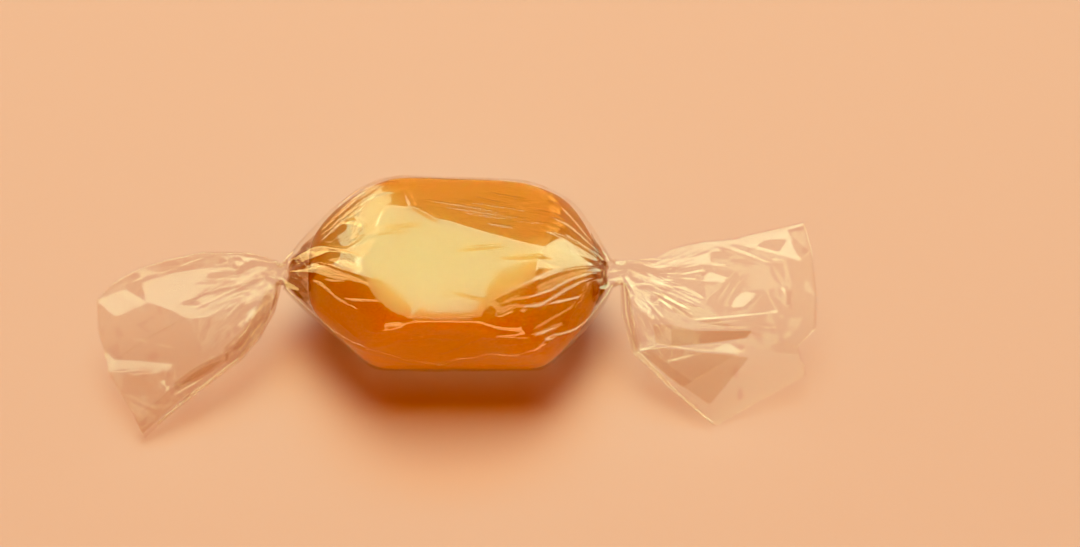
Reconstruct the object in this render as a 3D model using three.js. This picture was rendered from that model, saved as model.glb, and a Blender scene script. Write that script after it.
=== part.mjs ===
// A honey chew in a clear twist wrap, lying on its flat side.
//
// Two solids: the amber sweet, and the one sheet of film that is rolled round it,
// gathered into a neck at each end and spread into a flat two-layer tail beyond it.
// Millimetres, +Z up, length along X, the viewer's side towards -Y.
// The origin is on the resting face, under the middle of the sweet.
import * as THREE from "three";

// Driving dimensions of the wrapped body
const axisHeight = 7.8;
const filmWall = 0.3;
const sweetGap = 0.25;
const filmEdgeSharpness = 22;
const sweetEdgeSharpness = 16;

// Flat panels of the body. Each is a plane: its roll about the length in degrees (0 is up, 90 is
// the viewer's side), its lean towards +X and its distance from the middle.
const sides = [
  [-19, 5.6, 7.2],
  [5, 0, 7.4],
  [27, -21, 10.6],
  [33, 10.5, 9.87],
  [85, 0, 9.45],
  [122, 0, 9.1],
  [180, 0, 8.3],
  [232, 0, 9.2],
  [290, 0, 9.0],
];

// Sloping panels of the two shoulders, where the film is drawn in towards the necks
const rightShoulder = [
  [-60, 22, 10.4],
  [-35, 46, 12.0],
  [12, 40, 10.9],
  [52, 42, 11.8],
  [118, 45, 12.5],
  [180, 45, 12.5],
  [245, 46, 12.5],
  [-30, 57, 13.05],
  [60, 57, 13.05],
  [150, 57, 13.05],
  [240, 57, 13.05],
];
const leftShoulder = [
  [-60, -26, 11.1],
  [-60, -48, 12.9],
  [-6, -20, 9.2],
  [-8, -38, 11.3],
  [30, -42, 11.8],
  [66, -42, 12.2],
  [120, -42, 12.0],
  [180, -45, 12.6],
  [245, -46, 12.6],
];

// Blunt ends of the sweet itself, inside the film
const sweetEnds = [
  [0, 90, 14.8],
  [0, -90, 14.6],
];

// Necks: gathered and twisted film, still open through the middle
const neckRadius = 1.2;
const neckLength = 1.0;
const neckRidges = 5;
const neckRidgeDepth = 0.16;
const neckTwist = 150;

// Tails. Each lies in a plane tipped down towards the viewer. Corners of its edges are
// [out from the neck, down the slope]; the upper and lower edges start at the neck.
const leftTail = {
  side: -1,
  neckAt: 16.05,
  tilt: 26,
  upperEdge: [[2.5, -2.0], [6.9, -2.0], [9.8, -1.4], [12.8, -0.5], [15.0, 0.7]],
  upperCorner: [16.1, 1.7],
  rim: [[16.9, 2.6], [16.7, 5.6], [15.5, 9.8], [13.4, 13.2]],
  lowerTip: [12.3, 15.6],
  lowerEdge: [[-0.2, 2.4], [1.1, 5.3], [2.8, 7.8], [5.5, 9.9], [8.4, 12.1]],
  folds: 2.5,
  foldDepth: 0.55,
  foldStart: 0.6,
};
const rightTail = {
  side: 1,
  neckAt: 15.05,
  tilt: 31,
  upperEdge: [[3.0, -1.5], [4.5, -2.4], [6.8, -3.0], [10.1, -3.3]],
  upperCorner: [16.8, -4.9],
  rim: [[17.6, -2.0], [18.1, 2.2], [18.0, 5.2], [16.3, 6.9], [17.2, 9.6]],
  lowerTip: [8.5, 14.5],
  lowerEdge: [[0.6, 7.4]],
  folds: 3,
  foldDepth: 0.5,
  foldStart: 2.2,
};
const tailHalfThickness = 0.75;

// Fineness of the surface
const pointsAround = 48;
const bodySteps = 26;
const neckSteps = 4;
const tailSteps = 11;
const sweetSteps = 20;
const bodyEndAngle = 5;

// Worked out from the sizes above
const bodyTilt = 30;
const rad = THREE.MathUtils.degToRad;
const filmPlanes = [...sides, ...rightShoulder, ...leftShoulder].map(panel);
const sweetPlanes = [...filmPlanes, ...sweetEnds.map(panel)];

function panel([roll, lean, reach]) {
  const across = Math.cos(rad(lean));
  const normal = new THREE.Vector3(
    Math.sin(rad(lean)),
    -across * Math.sin(rad(roll)),
    across * Math.cos(rad(roll)),
  );
  return { normal, reach };
}

// Distance from the middle to the rounded block, along a direction of length one
function blockReach(direction, planes, sharpness) {
  let total = 0;
  for (const { normal, reach } of planes) {
    total += Math.max(0, normal.dot(direction) / reach) ** sharpness;
  }
  return total ** (-1 / sharpness);
}

function placed(point, floor) {
  point.z = Math.max(point.z + axisHeight, floor);
  return point;
}

// The sweet: the same block, rounder, inside the film
function sweet() {
  const geometry = new THREE.SphereGeometry(1, pointsAround, sweetSteps);
  geometry.rotateZ(Math.PI / 2);
  const positions = geometry.attributes.position;
  const point = new THREE.Vector3();
  for (let i = 0; i < positions.count; i++) {
    point.fromBufferAttribute(positions, i).normalize();
    const reach = blockReach(point, sweetPlanes, sweetEdgeSharpness);
    point.multiplyScalar(reach - filmWall - sweetGap);
    placed(point, filmWall + sweetGap);
    positions.setXYZ(i, point.x, point.y, point.z);
  }
  geometry.computeVertexNormals();
  return geometry;
}

// Loops of the film. An angle of 0 is the tail's upper edge, 180 its lower edge, and the layer
// between them faces the viewer. Inset is 0 for the outer skin and the wall for the inner one.
function bodyPoint(alongAngle, angle, inset) {
  const roll = angle - rad(90 - bodyTilt);
  const direction = new THREE.Vector3(
    -Math.cos(alongAngle),
    -Math.sin(alongAngle) * Math.sin(roll),
    Math.sin(alongAngle) * Math.cos(roll),
  );
  const reach = blockReach(direction, filmPlanes, filmEdgeSharpness) - inset;
  return placed(direction.multiplyScalar(reach), inset);
}

function neckPoint(tail, share, angle, inset) {
  const tilt = THREE.MathUtils.lerp(bodyTilt, tail.tilt, share);
  const roll = angle - rad(90 - tilt);
  const ridge = Math.cos(neckRidges * angle + rad(neckTwist) * share);
  const radius = neckRadius * (1 + neckRidgeDepth * ridge * Math.sin(Math.PI * share)) - inset;
  const x = tail.side * (tail.neckAt + neckLength * share);
  return placed(new THREE.Vector3(x, -radius * Math.sin(roll), radius * Math.cos(roll)), inset);
}

// The point at a share of the length of a path with straight stretches
function alongPath(points, share) {
  const lengths = points.slice(1).map((p, i) => Math.hypot(p[0] - points[i][0], p[1] - points[i][1]));
  let left = share * lengths.reduce((sum, length) => sum + length, 0);
  let i = 0;
  while (i < lengths.length - 1 && left > lengths[i]) {
    left -= lengths[i];
    i += 1;
  }
  return mixed(points[i], points[i + 1], left / lengths[i]);
}

function mixed(a, b, share) {
  return [0, 1].map((k) => THREE.MathUtils.lerp(a[k], b[k], share));
}

// A point of the tail's middle layer, spanned between its upper edge, lower edge and rim
function tailMiddle(tail, outShare, acrossShare) {
  const upper = alongPath([[0, -neckRadius], ...tail.upperEdge, tail.upperCorner], outShare);
  const lower = alongPath([[0, neckRadius], ...tail.lowerEdge, tail.lowerTip], outShare);
  const rim = alongPath([tail.upperCorner, ...tail.rim, tail.lowerTip], acrossShare);
  const straightRim = mixed(tail.upperCorner, tail.lowerTip, acrossShare);
  const between = mixed(upper, lower, acrossShare);
  return [0, 1].map((k) => between[k] + outShare * (rim[k] - straightRim[k]));
}

function tailWidth(tail, outShare) {
  const top = tailMiddle(tail, outShare, 0);
  const low = tailMiddle(tail, outShare, 1);
  return Math.hypot(low[0] - top[0], low[1] - top[1]);
}

function tailPoint(tail, outShare, angle, inset) {
  const margin = inset / tailWidth(tail, outShare);
  const acrossShare = margin + (1 - 2 * margin) * 0.5 * (1 - Math.cos(angle));
  const [out, down] = tailMiddle(tail, outShare, acrossShare);
  const pinch = (1 - outShare) ** 3;
  const halfThickness = THREE.MathUtils.lerp(tailHalfThickness, neckRadius, pinch) - inset;
  const wave = Math.sin(2 * Math.PI * tail.folds * acrossShare + tail.foldStart);
  const lift = halfThickness * Math.sin(angle) + tail.foldDepth * wave * outShare;
  const tilt = rad(tail.tilt);
  return placed(
    new THREE.Vector3(
      tail.side * (tail.neckAt + neckLength + out),
      -down * Math.cos(tilt) - lift * Math.sin(tilt),
      -down * Math.sin(tilt) + lift * Math.cos(tilt),
    ),
    inset,
  );
}

// Loop functions of the film from the left rim to the right rim
function filmLoops() {
  const loops = [];
  for (let i = tailSteps; i > 0; i--) {
    loops.push((angle, inset) => tailPoint(leftTail, i / tailSteps, angle, inset));
  }
  for (let i = neckSteps; i >= 0; i--) {
    loops.push((angle, inset) => neckPoint(leftTail, i / neckSteps, angle, inset));
  }
  for (let i = 0; i <= bodySteps; i++) {
    const along = rad(bodyEndAngle + ((180 - 2 * bodyEndAngle) * i) / bodySteps);
    loops.push((angle, inset) => bodyPoint(along, angle, inset));
  }
  for (let i = 0; i <= neckSteps; i++) {
    loops.push((angle, inset) => neckPoint(rightTail, i / neckSteps, angle, inset));
  }
  for (let i = 1; i <= tailSteps; i++) {
    loops.push((angle, inset) => tailPoint(rightTail, i / tailSteps, angle, inset));
  }
  return loops;
}

// The film: an outer and an inner skin through the loops, joined along both open rims
function wrapper() {
  const loops = filmLoops();
  const rows = [
    ...loops.map((loop) => [loop, 0]),
    ...[...loops].reverse().map((loop) => [loop, filmWall]),
  ];
  const positions = [];
  for (const [loop, inset] of rows) {
    for (let j = 0; j < pointsAround; j++) {
      positions.push(...loop((2 * Math.PI * j) / pointsAround, inset).toArray());
    }
  }
  const triangles = [];
  for (let i = 0; i < rows.length; i++) {
    const here = i * pointsAround;
    const next = ((i + 1) % rows.length) * pointsAround;
    for (let j = 0; j < pointsAround; j++) {
      const k = (j + 1) % pointsAround;
      triangles.push(here + j, here + k, next + k, here + j, next + k, next + j);
    }
  }
  const geometry = new THREE.BufferGeometry();
  geometry.setAttribute("position", new THREE.Float32BufferAttribute(positions, 3));
  geometry.setIndex(triangles);
  geometry.computeVertexNormals();
  return geometry;
}

function named(name, geometry, material) {
  const mesh = new THREE.Mesh(geometry, material);
  mesh.name = name;
  return mesh;
}

const amber = new THREE.MeshStandardMaterial({ color: 0xd07a18, roughness: 0.25, metalness: 0 });
const clearFilm = new THREE.MeshStandardMaterial({
  color: 0xf6e3c8,
  roughness: 0.08,
  metalness: 0,
  transparent: true,
  opacity: 0.35,
});

const part = new THREE.Group();
part.add(named("sweet", sweet(), amber));
part.add(named("wrapper", wrapper(), clearFilm));
export default part;
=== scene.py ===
"""A honey chew in a clear twist wrap.

An amber sweet, one creased sheet of film round it, a plain floor and soft light.
"""
import math

import bpy
import numpy as np
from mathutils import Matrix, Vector
from mathutils.geometry import delaunay_2d_cdt


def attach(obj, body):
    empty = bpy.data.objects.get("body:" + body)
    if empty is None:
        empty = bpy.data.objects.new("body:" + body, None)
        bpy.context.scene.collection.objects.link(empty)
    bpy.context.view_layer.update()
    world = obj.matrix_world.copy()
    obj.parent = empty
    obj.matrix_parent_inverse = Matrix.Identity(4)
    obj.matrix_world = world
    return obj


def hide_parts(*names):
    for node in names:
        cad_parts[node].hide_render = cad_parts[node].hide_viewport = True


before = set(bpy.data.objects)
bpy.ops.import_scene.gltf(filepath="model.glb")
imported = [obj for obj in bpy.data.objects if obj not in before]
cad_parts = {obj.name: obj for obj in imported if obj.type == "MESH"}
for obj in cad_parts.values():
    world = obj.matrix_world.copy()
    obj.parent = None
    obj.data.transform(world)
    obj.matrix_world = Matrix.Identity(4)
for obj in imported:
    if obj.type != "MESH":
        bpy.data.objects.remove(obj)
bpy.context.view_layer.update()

# Sizes of the object are in millimetres, as in the solids; meshes are in metres. Angles are in degrees,
# but twists and the turn of the fan's ridges are in radians.
MM = 0.001

# Wrapped body. A flat panel is given by its roll about the length (0 up, 90 towards the viewer), its
# lean towards +X and its distance from the middle.
AXIS_HEIGHT = 7.8
SIDE_PANELS = (
    (-19, 7.4, 7.5), (5, 0, 7.4), (27, -21, 10.6), (85, 0, 9.45),
    (122, 0, 9.1), (180, 0, 8.3), (232, 0, 9.2), (290, 0, 9.0),
)
RIGHT_PANELS = (
    (-60, 22, 10.8), (-35, 46, 12.0), (-12, 43, 11.27), (12, 40, 10.9), (36, 41, 11.05),
    (52, 42, 11.8), (118, 45, 12.5), (180, 45, 12.5), (245, 46, 12.5),
    (-30, 57, 13.05), (60, 57, 13.05), (150, 57, 13.05), (240, 57, 13.05),
)
LEFT_PANELS = (
    (-60, -26, 11.1), (-60, -48, 12.9), (-3, -20, 9.2), (-8, -38, 10.95), (30, -42, 11.8),
    (66, -42, 12.2), (120, -42, 12.0), (180, -45, 12.6), (245, -46, 12.6),
)
# Low right of the top, where the film is drawn down tight: loose before the first place along the
# length, tight past the second
DRAWN_PANELS = ((33, 10.5, 9.87), (19, 5.3, 8.63))
DRAWN_ALONG = (0.5, 4.5)
DRAWN_WHERE_LOOSE = 0.85
# Blunt ends of the sweet itself, inside the film
END_PANELS = ((0, 90, 14.1), (0, -90, 14.1))
FILM_SHARPNESS = 32
SWEET_SHARPNESS = 24
FILM_INSET = 0.12
SWEET_INSET = 0.16
FLOOR_GAP = 0.03
BODY_END_ANGLE = 5
BODY_TILT = 30
BODY_RADIUS = 8.5
BODY_HALF_LENGTH = 15.5
SWEET_ROWS = 97
SWEET_COLUMNS = 144

# Necks and tails. A tail lies in a plane tipped down towards the viewer, and its places are (out from
# the neck, down the slope). Its facets are given by their corners and how far each corner stands off the
# plane, its ridges by both ends and the height, its roll by a path with the radius along it, and the film
# folded flat onto its front, doubled, by outlines. The cut is how much shorter the front layer is below
# the middle, the tuck how far the inner edge is turned back up, the pleat the width of the small pleat,
# the crumple the depth of the chance creases, and the fan the directions in which small ridges leave the
# neck. The tint and gloss are those of its film.
NECK_RADIUS = 1.2
NECK_LENGTH = 1.0
LEFT_TAIL = dict(
    side=-1, neck_at=16.05, tilt=26, upper_corner=(16.1, 1.7), lower_tip=(12.3, 15.6),
    upper_edge=((2.5, -2.0), (6.9, -2.0), (9.8, -1.4), (12.8, -0.5), (15.0, 0.7)),
    rim=((16.9, 2.6), (16.7, 5.6), (15.5, 9.8), (13.4, 13.2)),
    lower_edge=((-0.2, 2.4), (1.1, 5.3), (2.8, 7.8), (5.5, 9.9), (8.4, 12.1)),
    cut=0.0, tuck=0.1, pleat=0.0, crumple=0.15, fan=(-15, 80), fan_ridges=24,
    tint=(0.972, 0.946, 0.93), gloss=0.008, seed=11,
    facets=(
        (2.5, -2.0, 0.3), (6.9, -2.0, 0.45), (9.8, -1.4, 0.45), (12.8, -0.5, 0.4), (15.0, 0.7, 0.3),
        (16.9, 2.6, 0.1), (4.4, -0.6, 0.05), (6.9, -0.5, 0.05), (10.3, 0.1, 0.05), (14.2, 1.5, 0.05),
        (3.5, 2.9, 0.94), (5.8, 4.2, 1.22), (7.9, 4.5, 1.62), (9.8, 3.6, 1.62), (11.9, 2.9, 1.49),
        (14.8, 4.2, 1.08), (16.5, 5.6, 0.41), (16.1, 7.2, -0.14), (15.0, 8.1, -0.27), (11.9, 8.3, 0.0),
        (9.5, 8.6, 0.0), (6.7, 7.4, 1.1), (4.6, 6.2, 1.05), (15.2, 9.5, 0.4), (12.9, 9.7, 0.45),
        (11.2, 9.5, 0.45), (10.4, 11.3, 0.5), (14.2, 11.3, 0.41), (11.9, 12.4, 0.27), (9.1, 10.5, 0.14),
        (12.3, 15.6, 0.0), (8.4, 12.1, 0.14), (5.5, 9.9, 0.27), (2.8, 7.8, 0.27), (1.1, 5.3, 0.27),
        (-0.2, 2.4, 0.0), (0.4, 0.1, 0.0),
    ),
    ridges=(
        (13.6, 1.0, 9.2, -0.4, 0.12), (9.2, -0.4, 6.9, -1.3, 0.12), (5.3, 1.3, 6.9, 5.8, 0.12),
        (15.6, 9.4, 11.0, 9.1, 0.12), (10.0, 9.0, 10.5, 11.2, 0.12), (12.6, 9.9, 10.4, 11.2, 0.12),
        (0.3, 1.4, 2.0, 4.9, 0.12), (2.0, 4.9, 4.2, 7.2, 0.12), (0.0, 2.2, 1.3, 4.9, 0.1),
        (1.3, 4.9, 3.4, 7.6, 0.1), (4.6, 8.8, 9.4, 11.6, 0.1), (5.0, 7.7, 9.6, 10.0, 0.1),
        (16.0, 1.8, 12.0, 4.0, 0.09), (12.0, 4.0, 7.6, 6.1, 0.09), (16.4, 5.7, 8.0, 7.6, 0.07),
        (3.0, -1.0, 4.6, 1.6, 0.12), (4.0, 4.5, 3.4, 7.4, 0.12), (14.0, 11.6, 10.0, 13.4, 0.07),
    ),
    roll=(
        (-0.4, 1.0, 0.25), (0.2, 3.5, 0.3), (1.6, 6.0, 0.3), (3.4, 8.1, 0.3), (8.2, 11.8, 0.25),
        (11.0, 14.2, 0.12),
    ),
    doubled=(
        (
            (-0.3, 1.0), (0.2, 3.4), (1.5, 5.7), (3.1, 7.9), (4.5, 8.6), (4.7, 7.1),
            (3.4, 5.9), (2.3, 4.3), (1.3, 2.6), (0.6, 1.1),
        ),
        ((0.2, 2.0), (0.6, 3.8), (1.9, 5.9), (3.2, 7.3), (3.9, 7.3), (2.8, 5.4), (1.6, 3.6), (0.9, 2.0)),
        ((9.4, 11.2), (9.4, 10.3), (7.8, 9.2), (6.2, 8.3), (4.2, 7.5), (4.4, 8.3), (5.8, 9.3), (7.6, 10.4)),
        ((9.0, 10.7), (7.6, 9.5), (5.9, 8.6), (4.9, 8.3), (6.0, 9.2), (7.6, 10.1)),
    ),
)
RIGHT_TAIL = dict(
    side=1, neck_at=15.05, tilt=31, upper_corner=(16.8, -4.9), lower_tip=(8.5, 14.5),
    upper_edge=((3.0, -1.5), (4.5, -2.4), (6.8, -3.0), (10.1, -3.3)),
    rim=((17.6, -2.0), (18.1, 2.2), (18.0, 5.2), (16.3, 6.9), (17.2, 9.6)),
    lower_edge=((0.6, 7.4),),
    cut=0.3, tuck=0.06, pleat=0.05, crumple=0.12, fan=(-25, 70), fan_ridges=44,
    tint=(0.984, 0.97, 0.96), gloss=0.011, seed=23,
    facets=(
        (0.9, 0.5, 0.0), (3.0, -1.5, 0.0), (6.8, -3.0, 0.0), (10.1, -3.3, 0.1), (14.8, -4.3, 0.0),
        (16.8, -4.9, 0.1), (17.6, -2.0, 0.3), (18.1, 2.2, 0.1), (17.8, 3.6, 0.4), (18.0, 5.2, 0.1),
        (2.4, 4.2, 0.5), (6.1, 4.6, 0.7), (9.2, 4.7, 0.8), (11.3, 4.2, 0.8), (15.1, 3.1, 0.8),
        (14.8, 4.4, 0.5), (4.4, 6.8, 0.4), (7.1, 6.8, 0.35), (9.7, 6.6, 0.4), (11.8, 6.0, 0.5),
        (15.6, 5.8, 0.4), (3.0, 6.7, 0.45), (3.0, 7.0, 0.85), (7.2, 7.2, 0.95), (11.5, 7.7, 0.8),
        (4.0, 8.6, 0.72), (7.8, 12.4, 0.05), (8.5, 14.5, 0.0), (0.6, 7.4, 0.4), (5.5, 11.2, 0.1),
        (14.8, 11.2, 0.0), (16.5, 8.1, 0.1), (4.3, -0.4, 0.5), (4.8, 0.9, 0.2), (6.1, -1.1, 0.5),
        (7.1, 0.4, 0.7), (6.6, 1.7, 0.3), (8.5, -0.8, 0.3), (9.2, 1.0, 0.8), (10.4, -0.2, 0.5),
        (11.1, 1.5, 0.3), (7.6, 2.7, 0.7), (5.2, 2.9, 0.6), (3.3, 2.3, 0.5), (9.5, 2.7, 0.5),
        (11.3, -2.3, 0.3), (13.7, -1.1, 0.6), (16.1, -1.0, 0.6), (15.6, 1.0, 0.4), (13.2, 1.5, 0.4),
    ),
    ridges=(
        (1.4, 0.9, 6.8, 3.0, 0.15), (2.0, 0.6, 6.9, 2.2, 0.15), (9.4, 3.0, 11.5, -0.2, 0.15),
        (8.8, 2.8, 10.4, 0.2, 0.12), (6.0, 4.5, 13.8, 3.8, 0.12), (13.8, 3.8, 15.2, 3.4, 0.12),
        (6.5, 5.2, 18.0, 5.2, 0.07), (1.6, -0.2, 6.6, -1.0, 0.12), (6.6, -1.0, 9.6, -0.6, 0.12),
        (9.0, -2.6, 13.6, -0.9, 0.12), (10.0, -2.9, 16.6, -1.2, 0.09), (15.0, 3.0, 17.8, 4.8, 0.09),
        (3.7, 8.5, 8.6, 7.2, 0.12), (15.2, -0.8, 16.6, 4.6, 0.07), (3.0, 0.2, 8.4, 0.9, 0.12),
        (0.8, 1.4, 4.4, 5.2, 0.12),
    ),
    roll=((-0.2, 0.9, 0.5), (0.1, 4.0, 0.6), (0.9, 7.4, 0.4), (4.6, 11.0, 0.2), (8.3, 14.2, 0.12)),
    doubled=(
        ((2.6, 4.8), (4.3, 4.8), (6.6, 5.4), (11.9, 5.4), (11.2, 6.1), (4.3, 6.9), (2.8, 6.5)),
        ((4.3, 5.2), (6.6, 5.4), (11.9, 5.4), (11.4, 6.0), (7.8, 6.6), (4.3, 6.8)),
        ((1.4, 7.4), (2.8, 6.9), (7.1, 7.4), (11.6, 7.9), (7.9, 12.4), (4.0, 9.7)),
    ),
)
TAILS = {"left": LEFT_TAIL, "right": RIGHT_TAIL}
TAIL_HALF_THICKNESS = 0.4
RIDGE_HALF_WIDTH = 0.22
# Far corners round both tails, so that every place of a tail lies between facet corners
TAIL_SURROUND = ((-5, -7, 0), (10, -9, 0), (23, -9, 0), (24, 8, 0), (22, 19, 0), (8, 21, 0), (-5, 14, 0))
TAIL_BOX = ((-5, -9), (24, 21))
NECK_BOX = ((-1.5, -3.5), (6, 6))
# How far out, as shares of the tail: where it is spread flat, where its relief sets in and is full, and
# where the crumpled film of the neck eases off and is gone
SPREAD_OUT = (0.0, 0.25)
RELIEF_OUT = (0.02, 0.3)
NECK_END_OUT = (0.12, 0.4)
# Small ridges that fan out from the neck: where they start and end, how much they turn, their height
FAN_START = (0.6, 4.0)
FAN_END = (3.5, 8.5)
FAN_TURN = 0.18
FAN_HEIGHT = (0.06, 0.15)
# The small pleat in the front layer: where it lies across the tail, from where to where in the layer's
# own width, where it starts, is full, eases and ends out from the neck, and how deep it lies
PLEAT_AT = 0.5
PLEAT_START = 0.5
PLEAT_END = 0.58
PLEAT_EASES = (0.66, 0.8)
PLEAT_OUT = (0.2, 0.27, 0.5, 0.66)
PLEAT_LEAST = 0.002
PLEAT_DROP = 6
CUT_ACROSS = (PLEAT_AT + 0.02, PLEAT_AT + 0.1)
FRONT_REACH = 0.97
TUCK_LIFT = 0.6
FOLD_ROUNDNESS = 8

# Rolled lower edges of the tails
ROLL_TURNS = 2.6
ROLL_TWIST = 3
ROLL_CORE = 0.3
ROLL_FLATNESS = 0.8
ROLL_CREASES = (14, 0.6)
ROLL_ROWS = 80
ROLL_COLUMNS = 110

# Film folded flat onto the tails
DOUBLED_LIFT = 0.1
DOUBLED_STEP = 0.08
DOUBLED_CORE = 0.02
DOUBLED_ROWS = 24
DOUBLED_COLUMNS = 120

# Crumpled collars of film round the necks: how many degrees they reach down the shoulder, how uneven
# that is, how far they stand off, and how much smoother they are at their far edge
COLLARS = 2
COLLAR_START = BODY_END_ANGLE - 1
COLLAR_REACH = 9
COLLAR_UNEVEN = 2
COLLAR_TWIST = 0.4
COLLAR_LIFT = 0.2
COLLAR_STEP = 0.15
COLLAR_SMOOTHER = 0.6
COLLAR_CREASES = (3.5, 2)
COLLAR_ROWS = 30
COLLAR_COLUMNS = 200

# The sheet of film, by angles round the body: it starts at its outer free edge, on the viewer's side,
# goes round the back, becomes the front layer of the tails and ends tucked in
SHEET_START = 148
FRONT_START = 360
FRONT_END = 540
SHEET_END = 583
LAYER_GAP = 0.1
FILM_THICKNESS = 0.04
FILM_LIFT = 0.05

# Gathers of the film: their number, how uneven they are as (amount, times round, start), where along the
# body they set in and are full, and how deep they are on the body, the necks and the tails
PLEATS = 9
PLEATS_UNEVEN = ((0.9, 2, 0), (0.6, 5, 1))
GATHERED_ALONG = (8.0, BODY_HALF_LENGTH)
GATHERED_CRUMPLE = 1.5
BODY_PLEAT = 0.3
NECK_PLEAT = 0.24
TAIL_PLEAT = 0.15
NECK_TWIST = 2.5
NECK_WAIST = 0.2

# The outer free edge of the sheet: where along the body it is lowest, how it bows and waves from there,
# where it runs straight into the necks, how soon the sheet behind it lies evenly, and its bead
EDGE_MIDDLE = -2
EDGE_BOW = 0.1
EDGE_BOW_LIMIT = 20
EDGE_WAVES = ((3, 0.5, 0), (1, 1.3, 1))
EDGE_STRAIGHT = (10.5, 15)
EDGE_FADE = 4
EDGE_BEAD = 0.22
EDGE_BEAD_WIDTH = 0.35

# Chance creases: the distance between their corners and their depth, with the seeds that are added to
# the tail's own
BODY_CRUMPLE = (3.0, 0.04)
NECK_CRUMPLE = (0.6, 0.12)
NECK_END_CRUMPLE = (0.6, 0.16)
BACK_CRUMPLE = (3.0, 0.08)
BACK_FINE_CRUMPLE = (1.4, 0.04)
ROLL_CRUMPLE = (0.8, 0.16)
COLLAR_CRUMPLE = (0.6, 0.3)
FRONT_SPACING = 1.8
BODY_SEED = 5
FOLD_SEED = 41
ROLL_SEED = 30
COLLAR_SEED = 40
FRONT_SEED = 50
NECK_END_SEED = 60
BACK_FINE_SEED = 70
RIDGE_SEED = 80
NECK_SEED = 90
CORNER_SCATTER = 0.42

# Standing folds of the film round the sweet: height, half width, and the places (x, roll) they run through
FOLDS = (
    (0.14, 0.35, (13.4, 18), (8.0, 34), (3.4, 46)),
    (0.18, 0.28, (3.4, 45), (4.0, 53), (5.8, 50)),
    (0.18, 0.28, (5.6, 50), (9.0, 54), (12.0, 60)),
    (0.17, 0.28, (13.2, 30), (9.0, 44), (6.0, 47)),
    (0.17, 0.26, (12.9, 38), (9.5, 50), (7.0, 55)),
    (0.24, 0.3, (2.6, 66), (6.0, 67), (10.2, 74)),
    (0.24, 0.28, (-1.4, 82), (0.8, 72), (3.0, 64)),
    (0.21, 0.26, (4.5, 73), (7.0, 70), (9.5, 79)),
    (0.24, 0.3, (-8.0, 79), (-6.0, 72), (-4.4, 64)),
    (0.21, 0.3, (-4.8, 59), (-3.8, 54), (-2.9, 46)),
    (0.22, 0.28, (-8.2, 65), (-5.5, 60), (-3.2, 56)),
    (0.18, 0.26, (-6.0, 69), (-2.0, 66), (1.0, 68)),
    (0.24, 0.3, (13.0, 42), (11.8, 62), (9.4, 80)),
    (0.11, 0.19, (-3.4, -29), (1.0, -27), (5.6, -23)),
    (0.1, 0.17, (-2.0, -24), (3.0, -22), (8.0, -19)),
    (0.1, 0.17, (-1.0, -33), (4.0, -31), (9.0, -28)),
    (0.09, 0.16, (0.5, -20), (4.5, -18), (7.0, -16)),
    (0.24, 0.4, (-4.7, -38), (-3.8, -21), (-1.4, -10)),
    (0.21, 0.3, (-12.4, -36), (-9.8, -40), (-7.2, -43)),
    (0.18, 0.28, (-12.6, -27), (-9.6, -33), (-6.6, -37)),
    (0.18, 0.28, (-11.6, -46), (-9.0, -50), (-6.4, -52)),
    (0.16, 0.28, (-12.8, -17), (-10.8, -26), (-8.6, -30)),
    (0.18, 0.3, (-11.0, -30), (-8.5, -14), (-8.1, 0), (-10.2, 10)),
    (0.18, 0.28, (-13.6, -14), (-11.0, 4), (-7.8, 18)),
    (0.14, 0.26, (-13.4, 12), (-10.5, 26), (-7.5, 34)),
    (0.16, 0.28, (-13.2, 40), (-11.0, 52), (-8.0, 56)),
    (0.21, 0.28, (-12.6, 66), (-10.5, 72), (-8.5, 76)),
    (0.14, 0.3, (13.7, -6), (10.5, -8), (7.6, -6)),
    (0.14, 0.26, (13.8, -20), (11.6, -26), (8.4, -24)),
    (0.16, 0.28, (8.2, -1), (8.8, -8), (8.6, -16)),
    (0.14, 0.26, (13.0, -34), (11.0, -42), (8.4, -44)),
)
# Small chance folds: their number, the range of places (x, roll) where they start, their length along
# the body, how much they turn, their height and half width
FINE_FOLDS = 60
FINE_FOLD_LOW = (-11, -75)
FINE_FOLD_HIGH = (7, 330)
FINE_FOLD_LENGTH = (2, 6)
FINE_FOLD_TURN = 4
FINE_FOLD_HEIGHT = (0.04, 0.12)
FINE_FOLD_WIDTH = (0.22, 0.32)

# Fineness of the film: rows along it, and columns round it as bands from one angle to another,
# closest together where the film shows
COLUMN_BANDS = ((SHEET_START, 190, 48), (190, 345, 72), (345, SHEET_END, 296))
BODY_ROWS = 119
NECK_ROWS = 12
TAIL_ROWS = 104

# Small numbers: the least that may be divided by, and how near a triangle's edge still counts as inside
LEAST_SHARE = 1e-9
LEAST_LENGTH = 1e-9
LEAST_AREA = 1e-9
CLOSE = 1e-6
# How nearly the gathers come to a sharp crest, where 1 is quite sharp
WAVE_CREST = 0.995

# Camera: aimed level with the sweet's middle, to the right of it, so that the sweet sits left
CAMERA_ELEVATION = 60
CAMERA_DISTANCE = 300
CAMERA_AIM_X = 7.95
CAMERA_CLIP = 0.01
PHOTO_WIDTH = 1080
PIXELS_PER_MM = 10.57
SENSOR_WIDTH = 36
# Picture: the level taken as black, the layers of film that light may cross, and its bounces
BLACK_LEVEL = (0, 0.005, 0.015)
FILM_LAYERS = 48
LIGHT_BOUNCES = 16

# Floor and plain backdrop round it, in metres
FLOOR_HALF = 3.0
FLOOR_COLOUR = (0.5, 0.34, 0.4, 1)
BACKDROP_RADIUS = 0.9
BACKDROP_HEIGHT = 1.5
BACKDROP_SIDES = 96
BACKDROP_COLOUR = (0.78, 0.46, 0.28, 1)

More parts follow.
